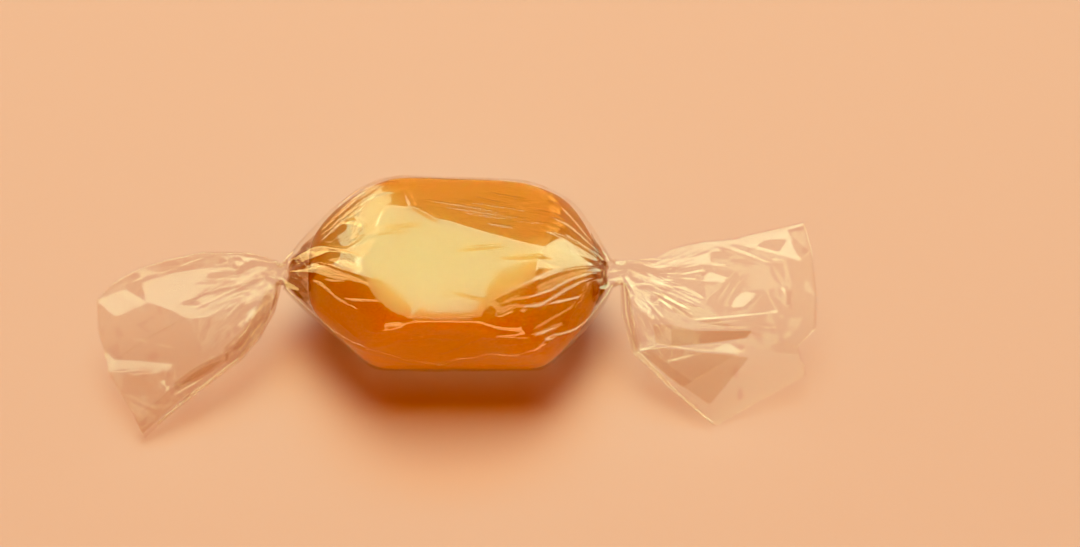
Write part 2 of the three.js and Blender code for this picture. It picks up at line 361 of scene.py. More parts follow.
# Film: what each kind lets through, how much it mirrors square on and at a slant, and how sharply. The
# folded double film and the crumpled film at the necks let through less, partly as painted shade
BODY_TINT = (0.988, 0.982, 0.975)
# The folded double film is tinted darker than the rest of the film: its own tint with painted shade of the
# folds added
DOUBLED_TINT_WITH_SHADE = (0.955, 0.912, 0.878)
# The crumpled film at the necks is tinted browner than the rest of the film: its own tint with painted
# shade of the gathered necks added
GATHERED_TINT_WITH_SHADE = (0.91, 0.82, 0.75)
BODY_GLOSS = 0.011
DOUBLED_GLOSS = 0.006
GATHERED_GLOSS = 0.01
SLANT_GLOSS = 0.24
SLANT_POWER = 3.5
BODY_ROUGHNESS = 0.06
TAIL_ROUGHNESS = 0.04
DOUBLED_ROUGHNESS = 0.05

# Amber of the sweet: its colour at its deepest and palest, the colour of its sheen, how far red, green
# and blue light spread inside it, and the fineness of its clouds
AMBER_DEEP = (0.42, 0.1, 0.003, 1)
AMBER_PALE = (0.53, 0.17, 0.006, 1)
AMBER_SHEEN = (1.0, 0.85, 0.3, 1)
AMBER_SPREAD = (1.0, 0.4, 0.1)
CLOUD_SCALE = 120
CLOUD_DETAIL = 3
CLOUD_RANGE = (0.3, 0.7)

# Colours of the lamps, the lit cards and the surroundings
WARM = (1.0, 0.64, 0.08)
COOL = (0.05, 1.0, 0.9)
YELLOW = (1.0, 0.8, 0.03)
ORANGE = (1.0, 0.72, 0.05)
PALE = (0.66, 1.0, 0.64)
GOLD = (1.0, 0.86, 0.34)
DEEP_GOLD = (0.58, 0.5, 0.2)
AMBER = (1.0, 0.62, 0.15)
SURROUND_COLOUR = (1.0, 0.1, 0.02, 1)
SURROUND_STRENGTH = 0.6
# Share of the fading card's depth, from its back edge, past which it is all deep gold
GOLD_FROM = 0.22
# Pieces other than the film round the sweet, which the broad top card lights
OTHER_PIECES = (
    "amber_sweet", "film_tail_left", "film_tail_right", "film_roll_left", "film_roll_right",
    "film_doubled_left", "film_doubled_right", "film_collar_left", "film_collar_right",
)


def planes_of(panels):
    """Outward normals of flat panels, divided by their distances from the middle."""
    rows = np.array(panels, float)
    roll = np.radians(rows[:, 0])
    lean = np.radians(rows[:, 1])
    normals = np.stack([np.sin(lean), -np.cos(lean) * np.sin(roll), np.cos(lean) * np.cos(roll)], axis=1)
    return normals / rows[:, 2:3]


FILM_PANELS = SIDE_PANELS + RIGHT_PANELS + LEFT_PANELS
FILM_PLANES = planes_of(FILM_PANELS)
DRAWN_PLANES = planes_of(DRAWN_PANELS)
SWEET_PLANES = planes_of(FILM_PANELS + END_PANELS + DRAWN_PANELS)


def block_reach(directions, planes, sharpness):
    """Distance from the middle to the rounded block along unit directions."""
    shares = np.maximum(directions @ planes.T, LEAST_SHARE)
    return (shares**sharpness).sum(axis=-1) ** (-1 / sharpness)


def ramp(low, high, value):
    """A straight step from 0 at low to 1 at high."""
    return np.clip((value - low) / (high - low), 0, 1)


def smooth(low, high, value):
    """A soft step from 0 at low to 1 at high."""
    share = ramp(low, high, value)
    return share * share * (3 - 2 * share)


def triangle_wave(phase):
    """A wave of straight flanks and sharp ridges, from -1 to 1, with one ridge per turn."""
    return 2 / np.pi * np.arcsin(np.sin(phase) * WAVE_CREST)


def grid_of(first, second):
    """Pairs of values: a column of first ones against a row of second ones."""
    return np.stack([first + 0 * second, second + 0 * first], axis=-1)


def along_path(points, share):
    """Points at shares of the length of a path with straight stretches."""
    corners = np.array(points, float)
    steps = np.linalg.norm(np.diff(corners[:, :2], axis=0), axis=1)
    at = np.concatenate([[0], np.cumsum(steps)]) / steps.sum()
    return np.stack([np.interp(share, at, corners[:, k]) for k in range(corners.shape[1])], axis=-1)


def ridge_height(across, along, path, height, half_width):
    """Height of a standing ridge with a sharp crest along a path, lowest at its ends."""
    corners = np.array(path, float)
    lengths = np.linalg.norm(np.diff(corners, axis=0), axis=1)
    done = np.concatenate([[0], np.cumsum(lengths)]) / lengths.sum()
    result = np.zeros(across.shape)
    for start, end, low, high in zip(corners[:-1], corners[1:], done[:-1], done[1:]):
        run = end - start
        share = ((across - start[0]) * run[0] + (along - start[1]) * run[1]) / (run @ run)
        share = np.clip(share, 0, 1)
        off = np.hypot(across - start[0] - share * run[0], along - start[1] - share * run[1])
        at = low + (high - low) * share
        result = np.maximum(result, np.sqrt(4 * at * (1 - at)) * np.clip(1 - off / half_width, 0, 1))
    return height * result


def facets(points, crumple, seed, box=None):
    """Height of a crumpled sheet: chance heights at scattered corners, flat between each three."""
    spacing, depth = crumple
    random = np.random.default_rng(seed)
    flat = points.reshape(-1, 2)
    low, high = (flat.min(axis=0), flat.max(axis=0)) if box is None else np.array(box, float)
    low = low - spacing
    high = high + spacing
    counts = np.ceil((high - low) / spacing).astype(int) + 1
    grid = np.stack(np.meshgrid(np.arange(counts[0]), np.arange(counts[1]), indexing="ij"), axis=-1)
    scatter = random.uniform(-CORNER_SCATTER, CORNER_SCATTER, (counts.prod(), 2))
    corners = low + (grid.reshape(-1, 2) + scatter) * spacing
    heights = random.uniform(-depth, depth, len(corners))
    return flat_between(points, corners, heights)


def flat_between(points, spots, heights):
    """Straight-sided interpolation of heights given at scattered spots."""
    made = delaunay_2d_cdt([Vector(spot) for spot in spots], [], [], 0, CLOSE)
    corners = np.array([tuple(corner) for corner in made[0]])
    values = heights[[origin[0] for origin in made[3]]]
    flat = points.reshape(-1, 2)
    result = np.zeros(len(flat))
    for face in made[2]:
        a, b, c = (corners[k] for k in face)
        area = (b[0] - a[0]) * (c[1] - a[1]) - (b[1] - a[1]) * (c[0] - a[0])
        if abs(area) < LEAST_AREA:
            continue
        offset = flat - a
        second = (offset[:, 0] * (c[1] - a[1]) - offset[:, 1] * (c[0] - a[0])) / area
        third = (offset[:, 1] * (b[0] - a[0]) - offset[:, 0] * (b[1] - a[1])) / area
        first = 1 - second - third
        inside = (second >= -CLOSE) & (third >= -CLOSE) & (second + third <= 1 + CLOSE)
        height = values[face[0]] * first + values[face[1]] * second + values[face[2]] * third
        result[inside] = height[inside]
    return result.reshape(points.shape[:-1])


# Columns of the sheet, from the outer free edge to the inner one
column_angle = np.concatenate([np.linspace(*band, endpoint=False) for band in COLUMN_BANDS] + [[SHEET_END]])
column_share = (column_angle - SHEET_START) / (SHEET_END - SHEET_START)
column_inset = FILM_INSET - LAYER_GAP * (1 - column_share)


def placed(points):
    """Points about the sweet's middle, set at its height and kept off the floor."""
    points = points + np.array([0, 0, AXIS_HEIGHT])
    points[..., 2] = np.maximum(points[..., 2], FLOOR_GAP)
    return points


def directions_at(along, roll):
    """Unit directions from the middle: an angle from the left end, and a roll about the length."""
    x = -np.cos(along) + 0 * roll
    return np.stack([x, -np.sin(along) * np.sin(roll), np.sin(along) * np.cos(roll)], axis=-1)


def pleat_wave(turn):
    """The gathers of the film round a neck, uneven in width, from -1 to 1."""
    angle = np.radians(column_angle)[None, :]
    phase = PLEATS * angle
    for amount, times, start in PLEATS_UNEVEN:
        phase = phase + amount * np.sin(times * angle + start)
    return triangle_wave(phase + turn)


def edge_bow(x):
    """How many degrees the outer free edge of the sheet lies off its place at the middle."""
    bow = np.minimum(EDGE_BOW * (x - EDGE_MIDDLE) ** 2, EDGE_BOW_LIMIT)
    for amount, rate, start in EDGE_WAVES:
        bow = bow + amount * np.sin(rate * x + start)
    return bow * (1 - smooth(*EDGE_STRAIGHT, np.abs(x)))


def edge_bead():
    """Height of the small bead along the outer free edge of the sheet."""
    from_edge = np.radians(column_angle - SHEET_START)[None, :] * BODY_RADIUS
    return EDGE_BEAD * np.clip(1 - np.abs(from_edge / EDGE_BEAD_WIDTH - 1), 0, 1)


def film_reach(directions):
    """Distance from the middle to the film, which is drawn down tight at the low right of the top."""
    reach = block_reach(directions, FILM_PLANES, FILM_SHARPNESS)
    tight = smooth(*DRAWN_ALONG, directions[..., 0] * reach)
    drawn = DRAWN_WHERE_LOOSE + (1 - DRAWN_WHERE_LOOSE) * tight
    held = block_reach(directions, DRAWN_PLANES, FILM_SHARPNESS) / drawn
    return (reach**-FILM_SHARPNESS + held**-FILM_SHARPNESS) ** (-1 / FILM_SHARPNESS)


def film_body():
    """Rows of the film round the sweet, with pleats gathering towards the necks."""
    along = np.radians(np.linspace(BODY_END_ANGLE, 180 - BODY_END_ANGLE, BODY_ROWS))[:, None]
    bow = edge_bow(-BODY_HALF_LENGTH * np.cos(along)) * (1 - column_share) ** EDGE_FADE
    roll = np.radians(column_angle[None, :] - (90 - BODY_TILT) - bow)
    directions = directions_at(along, roll)
    reach = film_reach(directions) - column_inset
    sheet = np.stack([directions[..., 0] * reach, roll * BODY_RADIUS], axis=-1)
    drawn_in = smooth(*GATHERED_ALONG, np.abs(sheet[..., 0]))
    reach = reach + BODY_PLEAT * drawn_in * (0.5 + 0.5 * pleat_wave(0)) + edge_bead()
    crumple = facets(sheet, BODY_CRUMPLE, BODY_SEED) * (1 + GATHERED_CRUMPLE * drawn_in)
    reach = reach + FILM_LIFT + crumple
    reach = reach + body_folds(directions[..., 0] * reach, np.degrees(roll))
    return placed(directions * reach[..., None])


def fine_folds():
    """Small folds at chance places on the film round the sweet."""
    random = np.random.default_rng(FOLD_SEED)
    folds = []
    for _ in range(FINE_FOLDS):
        x, roll = random.uniform(FINE_FOLD_LOW, FINE_FOLD_HIGH)
        x_end = x + random.uniform(*FINE_FOLD_LENGTH)
        roll_end = roll + random.normal(0, FINE_FOLD_TURN)
        height = random.uniform(*FINE_FOLD_HEIGHT)
        half_width = random.uniform(*FINE_FOLD_WIDTH)
        folds.append((height, half_width, (x, roll), (x_end, roll_end)))
    return folds


def body_folds(x, roll):
    """Height of the standing folds on the film round the sweet: the placed ones and the small ones."""
    total = np.zeros(x.shape)
    for height, half_width, *path in [*FOLDS, *fine_folds()]:
        first_roll = path[0][1]
        around = np.radians((roll - first_roll + 180) % 360 - 180) * BODY_RADIUS
        line = [(place, math.radians(turn - first_roll) * BODY_RADIUS) for place, turn in path]
        total = np.maximum(total, ridge_height(x, around, line, height, half_width))
    return total


def film_neck(tail):
    """Rows of one neck, from the body outwards."""
    share = np.linspace(0, 1, NECK_ROWS)[:, None]
    tilt = BODY_TILT + (tail["tilt"] - BODY_TILT) * share
    roll = np.radians(column_angle[None, :] - (90 - tilt))
    waist = NECK_RADIUS * (1 - NECK_WAIST * np.sin(np.pi * share))
    radius = waist + NECK_PLEAT * pleat_wave(NECK_TWIST * share) - column_inset
    around = np.stack([NECK_LENGTH * share + 0 * roll, NECK_RADIUS * roll], axis=-1)
    radius = radius + facets(around, NECK_CRUMPLE, tail["seed"] + NECK_SEED)
    x = tail["side"] * (tail["neck_at"] + NECK_LENGTH * share) + 0 * roll
    return placed(np.stack([x, -radius * np.sin(roll), radius * np.cos(roll)], axis=-1))


def rounded_edge(share):
    """A rise from 0 to 1 that is steep at first, as at a folded edge."""
    return np.sqrt(1 - (1 - np.clip(share, 0, 1)) ** FOLD_ROUNDNESS)


def tail_columns(tail, out_share):
    """Where each column lies across the flat tail (0 upper edge, 1 lower edge), its lift and its layer."""
    angle = column_angle[None, :] + 0 * out_share
    back = ramp(FRONT_START, SHEET_START, angle)
    front = ramp(FRONT_START, FRONT_END, angle)
    tuck = ramp(FRONT_END, SHEET_END, angle)
    layer = np.where(angle < FRONT_START, 0, np.where(angle < FRONT_END, 1, 2))
    starts, full, eases, ends = PLEAT_OUT
    pleat_there = smooth(starts, full, out_share) * (1 - smooth(eases, ends, out_share))
    pleat = PLEAT_LEAST + tail["pleat"] * pleat_there
    above = (PLEAT_AT + pleat) * ramp(0, PLEAT_START, front)
    under = -2 * pleat * ramp(PLEAT_START, PLEAT_END, front)
    below = (FRONT_REACH - PLEAT_AT + pleat) * ramp(PLEAT_END, 1, front)
    across = np.where(layer == 0, back, above + under + below - tuck * tail["tuck"])
    drop = smooth(PLEAT_START, PLEAT_END, front) * (1 - smooth(*PLEAT_EASES, front))
    front_lift = rounded_edge(front * 2) * rounded_edge((1 - front) * 2) - PLEAT_DROP * pleat * drop
    tuck_lift = TUCK_LIFT * rounded_edge(tuck * 2)
    lift = np.where(layer == 0, -rounded_edge(back * 2), np.where(layer == 1, front_lift, tuck_lift))
    return across, lift, layer


def tail_plane(tail, out_share, across):
    """Places in the plane of a tail, spanned between its upper edge, lower edge and rim."""
    corner = np.array(tail["upper_corner"])
    tip = np.array(tail["lower_tip"])
    upper = along_path(((0, -NECK_RADIUS), *tail["upper_edge"], corner), out_share)
    lower = along_path(((0, NECK_RADIUS), *tail["lower_edge"], tip), out_share)
    rim = along_path((corner, *tail["rim"], tip), across)
    side = across[..., None]
    return upper + (lower - upper) * side + (rim - corner - (tip - corner) * side) * out_share[..., None]


def tail_place(tail, plane, lift):
    """Points of places in the plane of a tail, lifted off that plane."""
    tilt = math.radians(tail["tilt"])
    x = tail["side"] * (tail["neck_at"] + NECK_LENGTH + plane[..., 0])
    y = -plane[..., 1] * math.cos(tilt) - lift * math.sin(tilt)
    z = -plane[..., 1] * math.sin(tilt) + lift * math.cos(tilt)
    return placed(np.stack([x, y, z], axis=-1))


def film_tail(tail):
    """Rows of one tail, from the neck outwards: a flattened, creased, two-layer fan."""
    row_share = np.linspace(0, 1, TAIL_ROWS + 1)[1:, None] + 0 * column_angle[None, :]
    angle = np.radians(column_angle)[None, :]
    across_flat, lift_flat, layer = tail_columns(tail, row_share)
    spread = smooth(*SPREAD_OUT, row_share)
    across = (1 - spread) * 0.5 * (1 - np.cos(angle)) + spread * across_flat
    lift = (1 - spread) * NECK_RADIUS * np.sin(angle) + spread * TAIL_HALF_THICKNESS * lift_flat
    out_share = row_share * (1 - tail["cut"] * (layer > 0) * smooth(*CUT_ACROSS, across))
    plane = tail_plane(tail, out_share, across)
    lift = lift + tail_relief(tail, plane, layer) * smooth(*RELIEF_OUT, row_share)
    crumple = facets(plane, NECK_END_CRUMPLE, tail["seed"] + NECK_END_SEED, NECK_BOX)
    lift = lift + crumple * (1 - smooth(*NECK_END_OUT, row_share))
    pleat_depth = NECK_PLEAT * (1 - spread) + TAIL_PLEAT * spread * (1 - row_share) ** 2
    return tail_place(tail, plane, lift + pleat_wave(NECK_TWIST) * pleat_depth)


def tail_relief(tail, plane, layer):
    """How far the creased film stands off the plane of the tail: the front layer has the large facets."""
    corners = np.array(tail["facets"] + TAIL_SURROUND, float)
    front = flat_between(plane, corners[:, :2], corners[:, 2])
    front = front + facets(plane, (FRONT_SPACING, tail["crumple"]), tail["seed"] + FRONT_SEED, TAIL_BOX)
    front = front + tail_ridges(tail, plane)
    back = facets(plane, BACK_CRUMPLE, tail["seed"], TAIL_BOX)
    back = back + facets(plane, BACK_FINE_CRUMPLE, tail["seed"] + BACK_FINE_SEED, TAIL_BOX)
    return np.where(layer > 0, front, back)


def fan_ridges(tail):
    """Small chance ridges that fan out from the neck of a tail."""
    random = np.random.default_rng(tail["seed"] + RIDGE_SEED)
    ridges = []
    for _ in range(tail["fan_ridges"]):
        way = math.radians(random.uniform(*tail["fan"]))
        start = random.uniform(*FAN_START)
        end = random.uniform(*FAN_END)
        turn = way + random.normal(0, FAN_TURN)
        first = (start * math.cos(way), start * math.sin(way))
        last = (end * math.cos(turn), end * math.sin(turn))
        ridges.append((*first, *last, random.uniform(*FAN_HEIGHT)))
    return ridges


def tail_ridges(tail, plane):
    """Height of the sharp creases of a tail: the placed ones and the small ones."""
    total = np.zeros(plane.shape[:-1])
    for out, down, out_end, down_end, height in [*tail["ridges"], *fan_ridges(tail)]:
        path = ((out, down), (out_end, down_end))
        ridge = ridge_height(plane[..., 0], plane[..., 1], path, height, RIDGE_HALF_WIDTH)
        total = np.maximum(total, ridge)
    return total


def spiral(path, radius, sideways, upwards, seed):
    """A loose spiral of film along a path, a little uneven, as rows along the path."""
    share = np.linspace(0, 1, len(path))[:, None]
    turn = np.linspace(0, 2 * np.pi * ROLL_TURNS, ROLL_COLUMNS)[None, :]
    uneven = facets(grid_of(ROLL_CREASES[0] * share, ROLL_CREASES[1] * turn), ROLL_CRUMPLE, seed)
    size = radius[:, None] * (ROLL_CORE + (1 - ROLL_CORE) * turn / turn.max()) * (1 + uneven)
    angle = turn + ROLL_TWIST * share
    across = (size * np.cos(angle))[..., None] * sideways[:, None, :]
    upright = (ROLL_FLATNESS * size * np.sin(angle))[..., None] * upwards[:, None, :]
    return path[:, None, :] + across + upright


def path_sides(path, upwards):
    """Unit vectors square to a path and to the upward direction along it."""
    sideways = np.cross(np.gradient(path, axis=0), upwards)
    return sideways / np.linalg.norm(sideways, axis=1, keepdims=True)


def film_roll(tail):
    """The rolled-up lower edge of a tail."""
    line = along_path(tail["roll"], np.linspace(0, 1, ROLL_ROWS))
    path = tail_place(tail, line[:, :2], TAIL_HALF_THICKNESS + 0 * line[:, 0])
    tilt = math.radians(tail["tilt"])
    upwards = np.array([[0, -math.sin(tilt), math.cos(tilt)]]) + 0 * path
    return spiral(path, line[:, 2], path_sides(path, upwards), upwards, tail["seed"] + ROLL_SEED)


def film_doubled(tail):
    """Further layers of film, folded flat onto the front of a tail."""
    made = []
    for k, corners in enumerate(tail["doubled"]):
        outline = along_path((*corners, corners[0]), np.linspace(0, 1, DOUBLED_COLUMNS))
        middle = np.mean(corners, axis=0)
        shares = np.linspace(DOUBLED_CORE, 1, DOUBLED_ROWS)[:, None, None]
        plane = middle + (outline - middle)[None] * shares
        relief = tail_relief(tail, plane, np.ones(plane.shape[:-1]))
        made.append(tail_place(tail, plane, TAIL_HALF_THICKNESS + DOUBLED_LIFT + DOUBLED_STEP * k + relief))
    return made


def film_collars(tail):
    """Crumpled film drawn up round a neck: uneven collars on the shoulder of the body."""
    share = np.linspace(0, 1, COLLAR_ROWS)[:, None]
    turn = np.linspace(np.pi, 3 * np.pi, COLLAR_COLUMNS)[None, :]
    creases = grid_of(COLLAR_CREASES[0] * share, COLLAR_CREASES[1] * turn)
    made = []
    for k in range(COLLARS):
        seed = tail["seed"] + COLLAR_SEED + k
        uneven = np.sin(3 * turn + seed) + np.sin(7 * turn + 2 * seed)
        angle = np.radians(COLLAR_START + (COLLAR_REACH + COLLAR_UNEVEN * uneven) * share)
        along = angle if tail["side"] < 0 else np.pi - angle
        directions = directions_at(along, turn + COLLAR_TWIST * share)
        reach = block_reach(directions, FILM_PLANES, FILM_SHARPNESS) - FILM_INSET
        rows = directions * reach[..., None]
        crumple = facets(creases, COLLAR_CRUMPLE, seed) * (1 - COLLAR_SMOOTHER * share)
        lift = COLLAR_LIFT + COLLAR_STEP * k + crumple
        made.append(placed(rows + tail["side"] * sheet_normals(rows) * lift[..., None]))
    return made


def sheet_normals(rows):
    """Unit vectors square to a sheet of rows of points."""
    normals = np.cross(np.gradient(rows, axis=1), np.gradient(rows, axis=0))
    return normals / np.maximum(np.linalg.norm(normals, axis=-1, keepdims=True), LEAST_LENGTH)


def sheet_sides(rows):
    """Both faces of the film: points moved off the middle of the sheet by half its thickness."""
    half = sheet_normals(rows) * FILM_THICKNESS / 2
    return rows + half, rows - half


def four_sided(a, b, c, d):
    """Faces of four corners, from arrays of point numbers."""
    return np.stack([a, b, c, d], axis=-1).reshape(-1, 4)


def sheet_faces(outer, inner, first_open, last_open):
    """Points and faces of a thin sheet with closed edges, except at ends where the sheet goes on."""
    count, width = outer.shape[:2]
    top = np.arange(count * width).reshape(count, width)
    low = top + count * width
    faces = [
        four_sided(top[:-1, :-1], top[:-1, 1:], top[1:, 1:], top[1:, :-1]),
        four_sided(low[1:, :-1], low[1:, 1:], low[:-1, 1:], low[:-1, :-1]),
        four_sided(top[:-1, 0], top[1:, 0], low[1:, 0], low[:-1, 0]),
        four_sided(low[:-1, -1], low[1:, -1], top[1:, -1], top[:-1, -1]),
    ]
    if not first_open:
        faces.append(four_sided(low[0, :-1], low[0, 1:], top[0, 1:], top[0, :-1]))
    if not last_open:
        faces.append(four_sided(top[-1, :-1], top[-1, 1:], low[-1, 1:], low[-1, :-1]))
    return np.concatenate([outer.reshape(-1, 3), inner.reshape(-1, 3)]), np.concatenate(faces)


def sheet_mesh(name, sheets):
    """One smooth mesh of several thin sheets."""
    starts = np.cumsum([0] + [len(points) for points, _ in sheets])
    points = np.concatenate([points for points, _ in sheets]) * MM
    faces = np.concatenate([faces + start for (_, faces), start in zip(sheets, starts)])
    mesh = bpy.data.meshes.new(name)
    mesh.from_pydata(points.tolist(), [], faces.tolist())
    mesh.shade_smooth()
    return mesh


def add_object(name, data):
    made = bpy.data.objects.new(name, data)
    bpy.context.collection.objects.link(made)
    return made


def add_film(name, mesh, material):
    film = add_object(name, mesh)
    film.data.materials.append(material)
    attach(film, "root")
    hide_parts("wrapper")


def film_materials():
    """The kinds of film: round the sweet, on each tail, folded double, and crumpled at the necks; the
    folded and crumpled kinds are tinted darker with painted shade.
    """
    return {
        "body": film_material("clear_film", BODY_GLOSS, BODY_ROUGHNESS, BODY_TINT),
        "left": tail_material("creased_film_left", LEFT_TAIL),
        "right": tail_material("creased_film_right", RIGHT_TAIL),
        "doubled": film_material("doubled_film_shaded", DOUBLED_GLOSS, DOUBLED_ROUGHNESS, DOUBLED_TINT_WITH_SHADE),
        "gathered": film_material("gathered_film_shaded", GATHERED_GLOSS, BODY_ROUGHNESS, GATHERED_TINT_WITH_SHADE),
    }


def tail_material(name, tail):
    return film_material(name, tail["gloss"], TAIL_ROUGHNESS, tail["tint"])


def make_sheet(films):
    """The one sheet of film, as three meshes that meet at the necks."""
    left = [film_tail(LEFT_TAIL)[::-1], film_neck(LEFT_TAIL)[::-1]]
    rows = np.concatenate([*left, film_body(), film_neck(RIGHT_TAIL), film_tail(RIGHT_TAIL)])
    outer, inner = sheet_sides(rows)
    body_start = TAIL_ROWS + NECK_ROWS
    body_end = body_start + BODY_ROWS
    stretches = (
        ("film_tail_left", 0, body_start + 1, films["left"]),
        ("film_body", body_start, body_end, films["body"]),
        ("film_tail_right", body_end - 1, len(rows), films["right"]),
    )
    for name, first, last, material in stretches:
        sheet = sheet_faces(outer[first:last], inner[first:last], first > 0, last < len(rows))
        add_film(name, sheet_mesh(name, [sheet]), material)


def make_film():
    """The sheet of film, with its rolled, doubled and crumpled places at both ends."""
    films = film_materials()
    make_sheet(films)
    for side, tail in TAILS.items():
        pieces = (
            ("film_roll_", [film_roll(tail)], films[side]),
            ("film_doubled_", film_doubled(tail), films["doubled"]),
            ("film_collar_", film_collars(tail), films["gathered"]),
        )
        for name, sheets, material in pieces:
            closed = [sheet_faces(*sheet_sides(sheet), False, False) for sheet in sheets]
            add_film(name + side, sheet_mesh(name + side, closed), material)


def sweet_mesh():
    """The rounded block of the sweet, as rings of points between a pole on each end."""
    along = np.linspace(0, np.pi, SWEET_ROWS)[:, None]
    roll = np.linspace(0, 2 * np.pi, SWEET_COLUMNS + 1)[None, :-1]
    directions = directions_at(along, roll)
    reach = block_reach(directions, SWEET_PLANES, SWEET_SHARPNESS) - SWEET_INSET
    rows = placed(directions * reach[..., None])
    rows[..., 2] = np.maximum(rows[..., 2], FLOOR_GAP + SWEET_INSET)
    points = [rows[0, 0], *rows[1:-1].reshape(-1, 3), rows[-1, 0]]
    rings = SWEET_ROWS - 2
    last_ring = 1 + (rings - 1) * SWEET_COLUMNS
    faces = []
    for j in range(SWEET_COLUMNS):
        k = (j + 1) % SWEET_COLUMNS
        faces.append((0, 1 + k, 1 + j))
        faces.append((len(points) - 1, last_ring + j, last_ring + k))
        for ring in range(rings - 1):
            here = 1 + ring * SWEET_COLUMNS
            after = here + SWEET_COLUMNS
            faces.append((here + j, here + k, after + k, after + j))
    mesh = bpy.data.meshes.new("amber_sweet")
    mesh.from_pydata([tuple(point * MM) for point in points], [], faces)
    mesh.validate()
    mesh.shade_smooth()
    return mesh


def make_sweet():
    sweet = add_object("amber_sweet", sweet_mesh())
    sweet.data.materials.append(amber_material())
    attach(sweet, "root")
    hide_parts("sweet")


def new_material(name):
    material = bpy.data.materials.new(name)
    material.use_nodes = True
    material.node_tree.nodes.clear()
    return material, material.node_tree.nodes, material.node_tree.links


def film_material(name, square_on, roughness, tint):
    """Clear film: light passes straight through, tinted (for the folded and crumpled film, darker with
    painted shade), with a gloss that grows at a slant.
    """
    material, nodes, links = new_material(name)
    output = nodes.new("ShaderNodeOutputMaterial")
    mix = nodes.new("ShaderNodeMixShader")
    clear = nodes.new("ShaderNodeBsdfTransparent")
    clear.inputs["Color"].default_value = (*tint, 1)
    gloss = nodes.new("ShaderNodeBsdfPrincipled")
    gloss.inputs["Base Color"].default_value = (1, 1, 1, 1)
    gloss.inputs["Metallic"].default_value = 1.0
    gloss.inputs["Roughness"].default_value = roughness
    facing = nodes.new("ShaderNodeLayerWeight")
    facing.inputs["Blend"].default_value = 0.5
    slant = nodes.new("ShaderNodeMath")
    slant.operation = "POWER"
    slant.inputs[1].default_value = SLANT_POWER
    amount = nodes.new("ShaderNodeMapRange")
    amount.inputs["To Min"].default_value = square_on
    amount.inputs["To Max"].default_value = SLANT_GLOSS
    links.new(facing.outputs["Facing"], slant.inputs[0])
    links.new(slant.outputs[0], amount.inputs["Value"])
    links.new(amount.outputs["Result"], mix.inputs["Fac"])
    links.new(clear.outputs[0], mix.inputs[1])
    links.new(gloss.outputs[0], mix.inputs[2])
    links.new(mix.outputs[0], output.inputs["Surface"])
    return material


def amber_material():
    """Translucent amber chew, a little cloudy, with a soft sheen."""
    material, nodes, links = new_material("amber_sweet")
    output = nodes.new("ShaderNodeOutputMaterial")
    shader = nodes.new("ShaderNodeBsdfPrincipled")
    noise = nodes.new("ShaderNodeTexNoise")
    noise.inputs["Scale"].default_value = CLOUD_SCALE
    noise.inputs["Detail"].default_value = CLOUD_DETAIL
    tint = nodes.new("ShaderNodeValToRGB")
    for element, colour, position in zip(tint.color_ramp.elements, (AMBER_DEEP, AMBER_PALE), CLOUD_RANGE):
        element.color = colour
        element.position = position
    shader.inputs["Transmission Weight"].default_value = 0.45
    shader.inputs["Subsurface Weight"].default_value = 1.0
    shader.inputs["Subsurface Radius"].default_value = AMBER_SPREAD
    shader.inputs["Subsurface Scale"].default_value = 0.012
    shader.inputs["Roughness"].default_value = 0.42
    shader.inputs["IOR"].default_value = 1.5
    shader.inputs["Specular IOR Level"].default_value = 0.45
    shader.inputs["Specular Tint"].default_value = AMBER_SHEEN
    links.new(noise.outputs["Fac"], tint.inputs["Fac"])
    links.new(tint.outputs["Color"], shader.inputs["Base Color"])
    links.new(shader.outputs[0], output.inputs["Surface"])
    return material


def floor_material():
    material, nodes, links = new_material("floor_paper")
    output = nodes.new("ShaderNodeOutputMaterial")
    shader = nodes.new("ShaderNodeBsdfPrincipled")
    shader.inputs["Base Color"].default_value = FLOOR_COLOUR
    shader.inputs["Roughness"].default_value = 0.9
    shader.inputs["Specular IOR Level"].default_value = 0.0
    links.new(shader.outputs[0], output.inputs["Surface"])
    return material


def make_floor():
    corners = [(x * FLOOR_HALF, y * FLOOR_HALF, 0) for x, y in ((-1, -1), (1, -1), (1, 1), (-1, 1))]
    mesh = bpy.data.meshes.new("floor")
    mesh.from_pydata(corners, [], [(0, 1, 2, 3)])
    floor = add_object("floor", mesh)
    floor.data.materials.append(floor_material())


def backdrop_material():
    """A plain pale glow on the inner side of the backdrop, and nothing on its outer side."""
    material, nodes, links = new_material("backdrop_paper")
    output = nodes.new("ShaderNodeOutputMaterial")
    mix = nodes.new("ShaderNodeMixShader")
    glow = nodes.new("ShaderNodeEmission")
    glow.inputs["Color"].default_value = BACKDROP_COLOUR
    clear = nodes.new("ShaderNodeBsdfTransparent")
    side = nodes.new("ShaderNodeNewGeometry")
    links.new(side.outputs["Backfacing"], mix.inputs["Fac"])
    links.new(glow.outputs[0], mix.inputs[1])
    links.new(clear.outputs[0], mix.inputs[2])
    links.new(mix.outputs[0], output.inputs["Surface"])
    return material


def make_backdrop():
    """A round pale wall behind every side view, which takes no part in the lighting."""
    turn = np.linspace(0, 2 * np.pi, BACKDROP_SIDES, endpoint=False)
    ring = np.stack([BACKDROP_RADIUS * np.cos(turn), BACKDROP_RADIUS * np.sin(turn), 0 * turn], axis=-1)
    points = np.concatenate([ring, ring + np.array([0, 0, BACKDROP_HEIGHT])])
    faces = []
    for here in range(BACKDROP_SIDES):
        after = (here + 1) % BACKDROP_SIDES
        faces.append((after, here, here + BACKDROP_SIDES, after + BACKDROP_SIDES))
    mesh = bpy.data.meshes.new("backdrop")
    mesh.from_pydata(points.tolist(), [], faces)
    backdrop = add_object("backdrop", mesh)
    backdrop.data.materials.append(backdrop_material())
    backdrop.visible_diffuse = False
    backdrop.visible_glossy = False
    backdrop.visible_transmission = False
    backdrop.visible_shadow = False


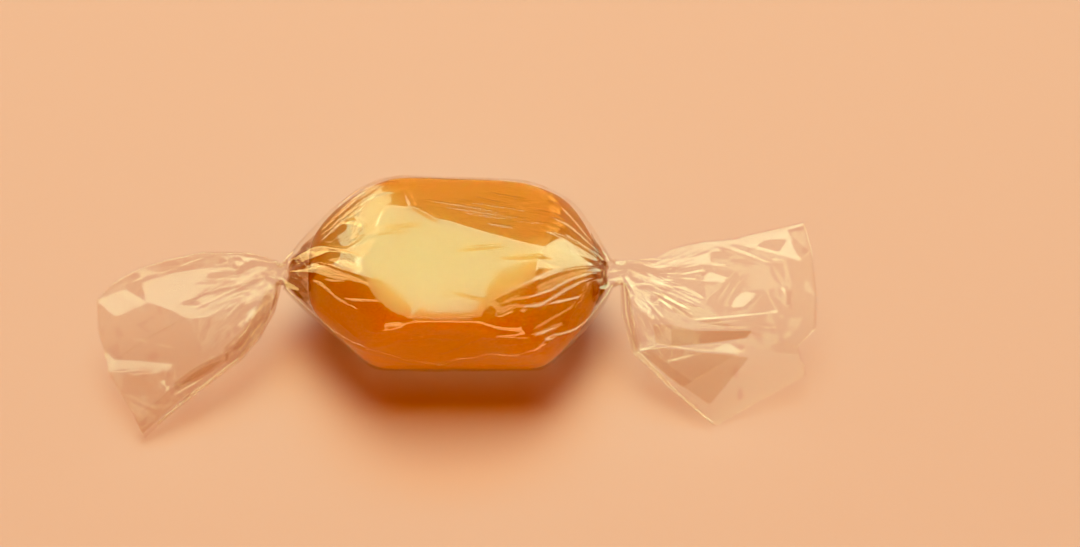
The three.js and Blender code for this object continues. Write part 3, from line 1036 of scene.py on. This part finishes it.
def soft_light(name, place, size, brightness, colour, only):
    """A soft rectangle of light that faces the sweet, for everything or only for one collection."""
    data = bpy.data.lights.new(name, "AREA")
    data.shape = "RECTANGLE"
    data.size, data.size_y = size
    data.energy = brightness * math.pi * size[0] * size[1]
    data.color = colour
    light = add_object(name, data)
    light.location = place
    light.rotation_mode = "QUATERNION"
    light.rotation_quaternion = (-Vector(place)).to_track_quat("-Z", "Y")
    light.visible_camera = False
    light.visible_transmission = False
    light.light_linking.receiver_collection = only
    return light


def lamp(name, place, size, brightness, colour, only=None):
    """A lamp that isn't seen in gloss."""
    soft_light(name, place, size, brightness, colour, only).visible_glossy = False


def card(name, place, size, brightness, colour, only=None):
    """A lit card that is seen only in gloss."""
    made = soft_light(name, place, size, brightness, colour, only)
    made.visible_diffuse = False
    return made.data


def fade(light, back_colour, front_colour, front_from):
    """Makes the colour of a card change from its back edge, over a share of its depth, to its front."""
    light.color = (1, 1, 1)
    light.use_nodes = True
    nodes = light.node_tree.nodes
    links = light.node_tree.links
    place = nodes.new("ShaderNodeNewGeometry")
    split = nodes.new("ShaderNodeSeparateXYZ")
    colours = nodes.new("ShaderNodeValToRGB")
    front, back = colours.color_ramp.elements
    front.color = (*front_colour, 1)
    front.position = 1 - front_from
    back.color = (*back_colour, 1)
    links.new(place.outputs["Parametric"], split.inputs[0])
    links.new(split.outputs["Y"], colours.inputs["Fac"])
    links.new(colours.outputs["Color"], nodes["Emission"].inputs["Color"])


def gathered(name, pieces):
    """A collection of some of the pieces, for a light of their own."""
    made = bpy.data.collections.new(name)
    for piece in pieces:
        made.objects.link(bpy.data.objects[piece])
    return made


def make_light():
    """Lamps and cards round the sweet, each by its place and size in metres and its brightness."""
    sweet = gathered("sweet_alone", ("amber_sweet",))
    film = gathered("film_round_sweet", ("film_body",))
    others = gathered("other_pieces", OTHER_PIECES)
    lamp("key_back", (0, 0.25, 0.815), (0.5, 0.5), 11.7, WARM)
    lamp("cool_back", (0, 0.36, 0.77), (0.6, 0.6), 5.4, COOL)
    lamp("fill_front", (0, -0.86, 0.07), (0.9, 0.12), 32, YELLOW, sweet)
    lamp("side_right", (0.75, 0.55, 0.25), (0.4, 0.3), 9, ORANGE, sweet)
    card("card_top", (0, 0.263, 0.81), (1.7, 0.72), 12, PALE, others)
    card("card_top_body", (0, 0.404, 0.75), (1.7, 0.384), 12, PALE, film)
    top_edge = card("card_top_edge", (0, -0.011, 0.92), (2.1, 0.538), 12, PALE, film)
    fade(top_edge, PALE, DEEP_GOLD, GOLD_FROM)
    card("card_left", (-0.562, 0.562, 0.425), (0.75, 0.4), 9, PALE)
    card("card_left_end", (-0.89, 0.42, 0.18), (0.26, 0.22), 8, GOLD, film)
    card("card_left_low", (-0.88, 0.2, 0.41), (0.54, 0.76), 12, GOLD, film)
    card("card_right", (0.785, 0.255, 0.38), (0.45, 0.8), 13, PALE)
    card("card_right_low", (0.97, -0.05, 0.2), (0.35, 0.3), 7, GOLD, film)
    card("card_near", (0, -0.5, 0.866), (0.42, 0.6), 3.4, PALE)
    card("card_front", (0, -0.97, 0.24), (2.4, 0.48), 12, GOLD, film)
    card("card_back", (0, 0.82, 0.45), (1.8, 0.8), 5, AMBER, film)
    card("card_back_right", (0.52, 0.82, 0.1), (0.5, 0.5), 3, AMBER, film)


def make_surroundings():
    """A dim warm glow from all round."""
    world = bpy.data.worlds.new("studio")
    bpy.context.scene.world = world
    world.use_nodes = True
    background = world.node_tree.nodes["Background"]
    background.inputs["Color"].default_value = SURROUND_COLOUR
    background.inputs["Strength"].default_value = SURROUND_STRENGTH


def make_camera():
    data = bpy.data.cameras.new("camera")
    data.sensor_width = SENSOR_WIDTH
    data.lens = PIXELS_PER_MM * CAMERA_DISTANCE * SENSOR_WIDTH / PHOTO_WIDTH
    data.clip_start = CAMERA_CLIP
    camera = add_object("camera", data)
    rise = math.radians(CAMERA_ELEVATION)
    aim = Vector((CAMERA_AIM_X, 0, AXIS_HEIGHT)) * MM
    back = Vector((0, -math.cos(rise), math.sin(rise)))
    camera.location = aim + back * CAMERA_DISTANCE * MM
    camera.rotation_mode = "QUATERNION"
    camera.rotation_quaternion = (-back).to_track_quat("-Z", "Y")
    bpy.context.scene.camera = camera


def set_view():
    """Plain colours, and enough depth for light through many layers of film."""
    scene = bpy.context.scene
    scene.view_settings.view_transform = "Standard"
    scene.view_settings.use_curve_mapping = True
    scene.view_settings.curve_mapping.black_level = BLACK_LEVEL
    scene.cycles.transparent_max_bounces = FILM_LAYERS
    scene.cycles.max_bounces = LIGHT_BOUNCES


make_camera()
make_sweet()
make_film()
make_floor()
make_backdrop()
make_light()
make_surroundings()
set_view()
